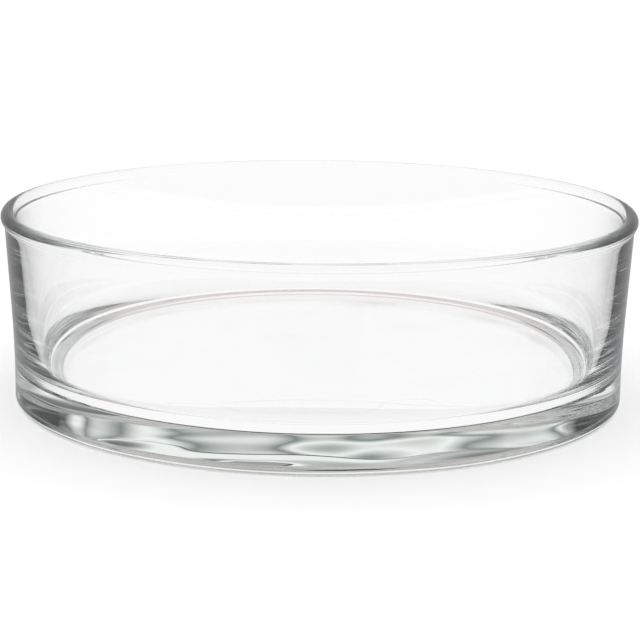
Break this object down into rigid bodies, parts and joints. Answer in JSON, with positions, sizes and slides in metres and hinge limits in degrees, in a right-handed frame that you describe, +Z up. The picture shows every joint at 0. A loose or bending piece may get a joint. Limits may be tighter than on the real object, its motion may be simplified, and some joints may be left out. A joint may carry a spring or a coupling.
{
  "type": "floating candle bowl",
  "caption": "Wide, shallow round bowl of thick clear pressed glass with a rounded rim bead, for water and floating candles.",
  "frame": {"origin": "centre of the underside, level with the foot ring that the bowl stands on", "axes": "+Z up along the bowl's axis of revolution, X and Y across the round rim and alike"},
  "size_m": [0.23, 0.23, 0.07],
  "materials": {
    "glass": "clear pressed soda-lime glass, fire-polished, faint grey-green in the thick base"
  },
  "bodies": {
    "root": {"glass_bowl": "glass"}
  },
  "joints": []
}
